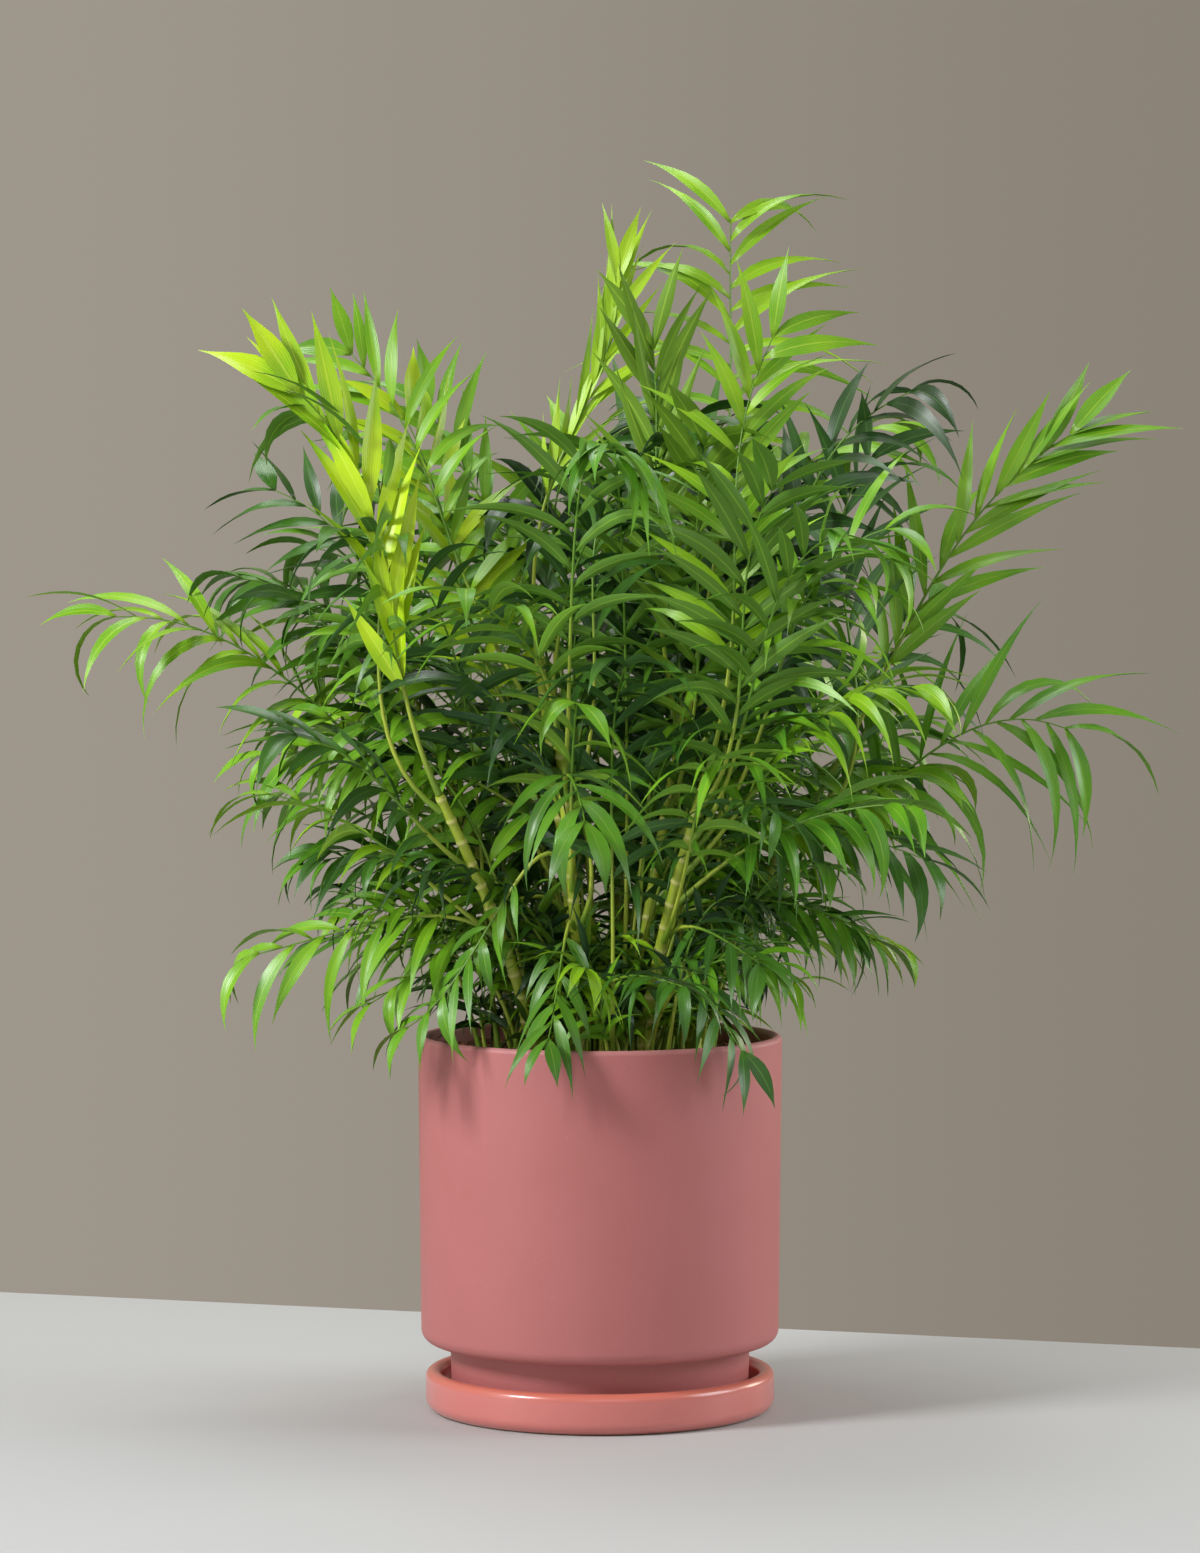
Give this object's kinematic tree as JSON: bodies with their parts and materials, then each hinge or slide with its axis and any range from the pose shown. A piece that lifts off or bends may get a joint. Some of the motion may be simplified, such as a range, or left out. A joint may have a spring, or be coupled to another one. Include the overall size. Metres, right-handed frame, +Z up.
{
  "type": "parlour palm in a pot",
  "caption": "Bushy indoor palm with thin green canes and feathery arching fronds, in a straight-sided round pink stoneware pot with a recessed foot on a matching saucer.",
  "frame": {"origin": "middle of the saucer's flat underside, on the floor", "axes": "+Z up along the pot's axis; the picture looks along +Y, so +X is to its right"},
  "size_m": [0.7667, 0.5904, 0.8574],
  "materials": {
    "pot": "matte pink glazed stoneware",
    "saucer": "satin pink glazed stoneware",
    "potting_mix": "moist bark and coir potting mix",
    "cane": "smooth yellow-green ringed stem",
    "leaf_lime": "lime green leaf, satin",
    "leaf_fresh": "fresh green leaf, satin",
    "leaf_mid": "mid green leaf, satin",
    "leaf_deep": "deep green leaf, satin",
    "leaf_dark": "dark green leaf, satin"
  },
  "bodies": {
    "root": {"cane_01": "cane", "cane_02": "cane", "cane_03": "cane", "cane_04": "cane", "cane_05": "cane", "cane_06": "cane", "cane_07": "cane", "cane_08": "cane", "cane_09": "cane", "cane_10": "cane", "frond_bright_right": "leaf_fresh", "frond_crown_left": "leaf_mid", "frond_dark_left": "leaf_dark", "frond_far_left": "leaf_fresh", "frond_far_right": "leaf_mid", "frond_fish_tail": "leaf_dark", "frond_front_left": "leaf_mid", "frond_front_right": "leaf_mid", "frond_green_spear": "leaf_fresh", "frond_hang_front": "leaf_deep", "frond_hang_right": "leaf_deep", "frond_high_left": "leaf_fresh", "frond_high_right": "leaf_fresh", "frond_lime_left": "leaf_lime", "frond_lime_right": "leaf_fresh", "frond_low_left": "leaf_mid", "frond_low_right": "leaf_dark", "frond_lower_left": "leaf_deep", "frond_mid_left": "leaf_mid", "frond_middle_01": "leaf_mid", "frond_middle_02": "leaf_dark", "frond_middle_03": "leaf_deep", "frond_middle_04": "leaf_fresh", "frond_middle_05": "leaf_mid", "frond_middle_06": "leaf_dark", "frond_middle_07": "leaf_deep", "frond_middle_08": "leaf_fresh", "frond_middle_09": "leaf_mid", "frond_middle_10": "leaf_dark", "frond_middle_11": "leaf_deep", "frond_pale_spear": "leaf_lime", "frond_rim_front": "leaf_deep", "frond_rim_left": "leaf_mid", "frond_rim_right": "leaf_deep", "frond_skirt_01": "leaf_deep", "frond_skirt_02": "leaf_dark", "frond_skirt_03": "leaf_mid", "frond_skirt_04": "leaf_deep", "frond_skirt_05": "leaf_dark", "frond_skirt_06": "leaf_mid", "frond_skirt_07": "leaf_deep", "frond_top": "leaf_fresh", "frond_upper_01": "leaf_fresh", "frond_upper_02": "leaf_mid", "frond_upper_03": "leaf_lime", "frond_upper_04": "leaf_deep", "frond_upper_05": "leaf_fresh", "pot": "pot", "potting_mix": "potting_mix", "saucer": "saucer"}
  },
  "joints": []
}
